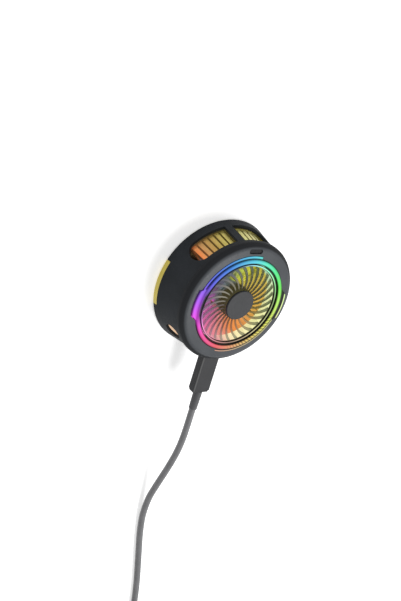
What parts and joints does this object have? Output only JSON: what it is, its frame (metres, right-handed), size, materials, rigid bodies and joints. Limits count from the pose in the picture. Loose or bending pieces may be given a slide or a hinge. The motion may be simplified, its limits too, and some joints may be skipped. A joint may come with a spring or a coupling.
{
  "type": "phone cooling fan",
  "caption": "Round magnetic cooling fan for a phone's back: curved blades in a glowing ring, gold finned heat sink behind side windows, cold plate underneath and a wound power lead.",
  "frame": {"origin": "centre of the contact face, which lies on the floor", "axes": "+Z along the fan's axis out of the front face; +Y towards the mode button; -Y towards the lead"},
  "size_m": [0.0666, 0.3019, 0.0223],
  "materials": {
    "cover_plastic": "fine matte grain",
    "shell_plastic": "fine matte grain",
    "tray_plastic": "matte",
    "contact_silicone": "matte, soft",
    "amber_diffuser": "milky, lit from behind",
    "ring_diffuser": "milky, lit from behind in changing colours",
    "duct_plastic": "milky, see-through",
    "blade_plastic": "smoky, see-through",
    "hub_plastic": "satin",
    "gold_aluminium": "gold anodised, satin",
    "bare_aluminium": "brushed",
    "magnet_metal": "nickel plated",
    "steel": "plain",
    "ferrite": "bonded ferrite, dull",
    "bronze": "sintered",
    "copper_wire": "enamelled",
    "washer_plastic": "plain",
    "circuit_board": "solder mask",
    "led_plastic": "plain",
    "chip_plastic": "plain",
    "ceramic": "fired alumina",
    "pellet_metal": "grey semiconductor",
    "pad_silicone": "soft",
    "foam": "closed-cell foam",
    "button_plastic": "satin",
    "plug_metal": "plated steel",
    "plug_plastic": "satin",
    "cord_jacket": "matte",
    "tie_plastic": "hook and loop"
  },
  "bodies": {
    "case": {"front_cover": "cover_plastic", "body_shell": "shell_plastic", "rear_cover": "tray_plastic", "contact_skin": "contact_silicone", "rear_light_ring": "amber_diffuser", "magnets": "magnet_metal", "magnet_yoke": "steel", "case_screws": "steel", "light_ring": "ring_diffuser", "light_board": "circuit_board", "leds": "led_plastic", "fan_duct": "duct_plastic", "bearing_sleeve": "bronze", "thrust_washer": "washer_plastic", "motor_base": "tray_plastic", "stator_core": "steel", "stator_coils": "copper_wire", "motor_board": "circuit_board", "heat_sink": "gold_aluminium", "thermal_pad": "pad_silicone", "tec_hot_plate": "ceramic", "tec_pellets": "pellet_metal", "tec_cold_plate": "ceramic", "insulation_foam": "foam", "cold_plate": "bare_aluminium", "temp_sensor": "chip_plastic", "control_board": "circuit_board", "board_parts": "chip_plastic", "usb_socket": "plug_metal", "usb_tongue": "chip_plastic", "button_switch": "chip_plastic", "plug_shell": "plug_metal", "plug_body": "plug_plastic", "strain_relief": "plug_plastic", "cord": "cord_jacket", "cord_coil": "cord_jacket", "cord_tie": "tie_plastic", "far_strain_relief": "plug_plastic", "far_plug_body": "plug_plastic", "far_plug_shell": "plug_metal"},
    "rotor": {"blade_wheel": "blade_plastic", "rotor_hub": "hub_plastic", "hub_cap": "hub_plastic", "rotor_yoke": "steel", "rotor_magnet": "ferrite", "rotor_shaft": "steel"},
    "button": {"mode_button": "button_plastic"}
  },
  "joints": [
    {"name": "fan_spin", "type": "hinge", "parent": "case", "child": "rotor", "pos_m": [0, 0, 0.018], "axis": [0, 0, 1], "continuous": true},
    {"name": "button_press", "type": "slide", "parent": "case", "child": "button", "axis": [0, 0, -1], "range_m": [0, 0.00035], "stiffness_N_per_m": 1500, "springref_m": -0.0003}
  ]
}
